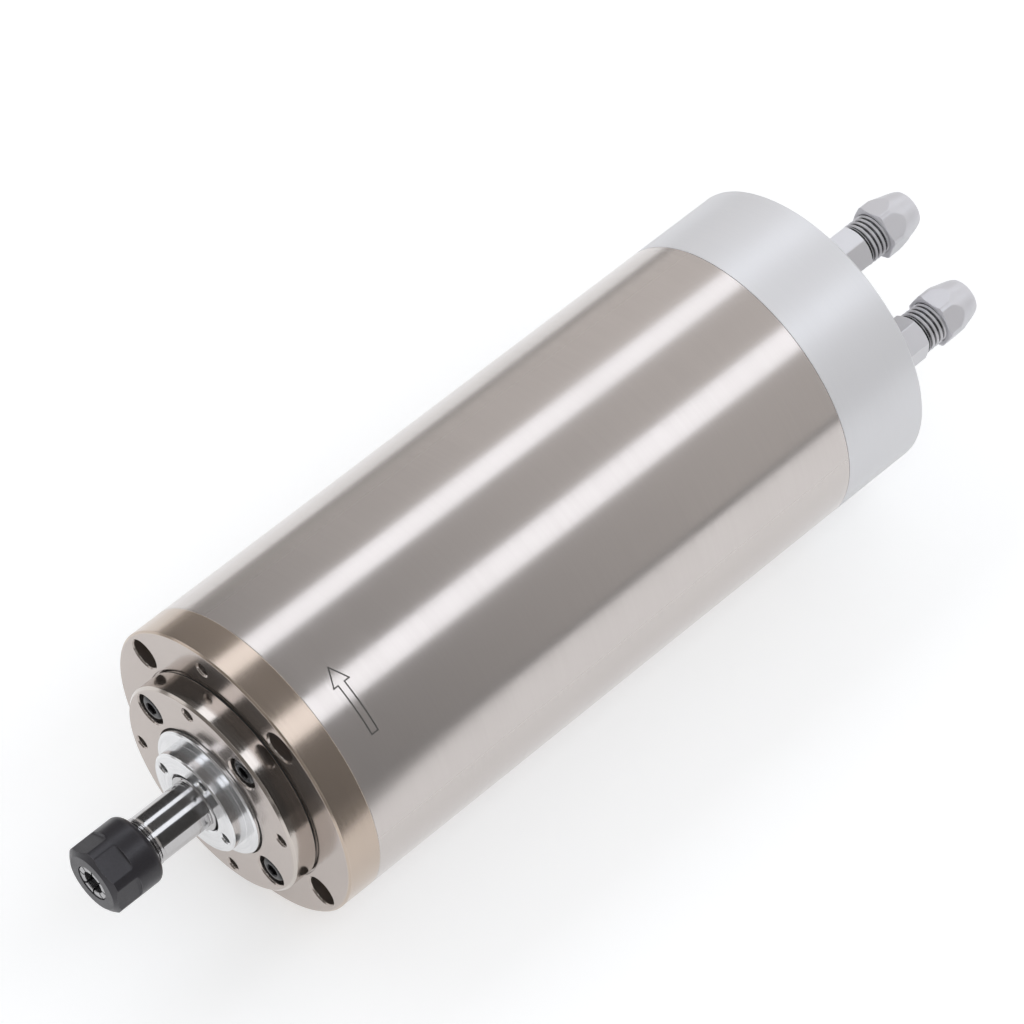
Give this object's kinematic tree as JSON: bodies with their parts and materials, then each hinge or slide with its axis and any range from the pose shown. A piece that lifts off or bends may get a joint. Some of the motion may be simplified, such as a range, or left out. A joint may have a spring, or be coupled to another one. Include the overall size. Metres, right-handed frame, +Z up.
{
  "type": "motor spindle",
  "caption": "Water-cooled high-speed motor spindle: round barrel, front flange, labyrinth seal, collet nose with clamping nut, two hose fittings and a round power socket at the rear.",
  "frame": {"origin": "centre of the front flange's front face, on the spindle axis", "axes": "+X along the spindle axis toward the water fittings, nose toward -X; +Z up with the spindle lying on its side; angles round the axis run from +Y toward +Z"},
  "size_m": [0.261, 0.08, 0.08],
  "materials": {
    "nickelled_steel": "nickel-plated steel, fine turned",
    "black_screw": "black oxide steel",
    "turned_aluminium": "turned, natural",
    "ground_steel": "ground and polished",
    "black_oxide": "black oxide steel, satin",
    "bearing_steel": "ground bearing steel",
    "cage_phenolic": "fabric-filled phenolic",
    "spring_steel": "spring steel",
    "lamination": "stacked electrical steel",
    "cast_aluminium": "die cast",
    "enamelled_copper": "enamelled copper wire",
    "jacket_steel": "turned steel",
    "seal_rubber": "nitrile rubber",
    "ground_stainless": "ground stainless steel",
    "satin_aluminium": "satin turned aluminium",
    "plated_brass": "nickel-plated brass",
    "insulator": "moulded insulator",
    "contact_brass": "plated brass contacts"
  },
  "bodies": {
    "body": {"front_flange": "nickelled_steel", "bearing_cover": "nickelled_steel", "cover_screws": "black_screw", "front_bearing_a_outer": "bearing_steel", "front_bearing_b_outer": "bearing_steel", "outer_spacer": "bearing_steel", "rear_bearing_outer": "bearing_steel", "preload_spring": "spring_steel", "stator_core": "lamination", "stator_windings": "enamelled_copper", "cooling_jacket": "jacket_steel", "front_o_ring": "seal_rubber", "rear_o_ring": "seal_rubber", "barrel": "ground_stainless", "rear_cap": "satin_aluminium", "cap_screws": "black_screw", "inlet_washer": "seal_rubber", "outlet_washer": "seal_rubber", "inlet_fitting": "plated_brass", "outlet_fitting": "plated_brass", "connector_gasket": "seal_rubber", "connector_shell": "plated_brass", "connector_insert": "insulator", "connector_pins": "contact_brass"},
    "rotor": {"shaft": "ground_steel", "labyrinth_ring": "turned_aluminium", "front_bearing_a_inner": "bearing_steel", "front_bearing_b_inner": "bearing_steel", "inner_spacer": "bearing_steel", "rear_bearing_inner": "bearing_steel", "rear_locknut": "black_oxide", "rotor_core": "lamination", "rotor_cage": "cast_aluminium"},
    "front_balls_a": {"front_bearing_a_balls": "bearing_steel", "front_bearing_a_cage": "cage_phenolic"},
    "front_balls_b": {"front_bearing_b_balls": "bearing_steel", "front_bearing_b_cage": "cage_phenolic"},
    "rear_balls": {"rear_bearing_balls": "bearing_steel", "rear_bearing_cage": "cage_phenolic"},
    "collet": {"collet": "ground_steel"},
    "collet_nut": {"collet_nut": "black_oxide"},
    "inlet_hose_nut": {"inlet_hose_nut": "plated_brass"},
    "outlet_hose_nut": {"outlet_hose_nut": "plated_brass"}
  },
  "joints": [
    {"name": "spindle_spin", "type": "hinge", "parent": "body", "child": "rotor", "pos_m": [0, 0, 0], "axis": [-1, 0, 0], "continuous": true},
    {"name": "front_balls_a_roll", "type": "hinge", "parent": "body", "child": "front_balls_a", "pos_m": [0.008, 0, 0], "axis": [-1, 0, 0], "continuous": true},
    {"name": "front_balls_b_roll", "type": "hinge", "parent": "body", "child": "front_balls_b", "pos_m": [0.022, 0, 0], "axis": [-1, 0, 0], "continuous": true},
    {"name": "rear_balls_roll", "type": "hinge", "parent": "body", "child": "rear_balls", "pos_m": [0.1547, 0, 0], "axis": [-1, 0, 0], "continuous": true},
    {"name": "collet_release", "type": "slide", "parent": "rotor", "child": "collet", "axis": [-1, 0, 0], "range_m": [0, 0.0075]},
    {"name": "collet_nut_turn", "type": "hinge", "parent": "collet", "child": "collet_nut", "pos_m": [-0.035, 0, 0], "axis": [-1, 0, 0], "range_deg": [0, 3600]},
    {"name": "inlet_hose_nut_turn", "type": "hinge", "parent": "body", "child": "inlet_hose_nut", "pos_m": [0.21, -0.00703, 0.03019], "axis": [1, 0, 0], "range_deg": [0, 1440]},
    {"name": "outlet_hose_nut_turn", "type": "hinge", "parent": "body", "child": "outlet_hose_nut", "pos_m": [0.21, -0.02752, 0.01427], "axis": [1, 0, 0], "range_deg": [0, 1440]}
  ],
  "couplings": [
    {"joint": "front_balls_a_roll", "follows": "spindle_spin", "ratio": 0.41158},
    {"joint": "front_balls_b_roll", "follows": "spindle_spin", "ratio": 0.41158},
    {"joint": "rear_balls_roll", "follows": "spindle_spin", "ratio": 0.40957},
    {"joint": "collet_release", "follows": "collet_nut_turn", "m_per_rad": 0.00011937}
  ]
}
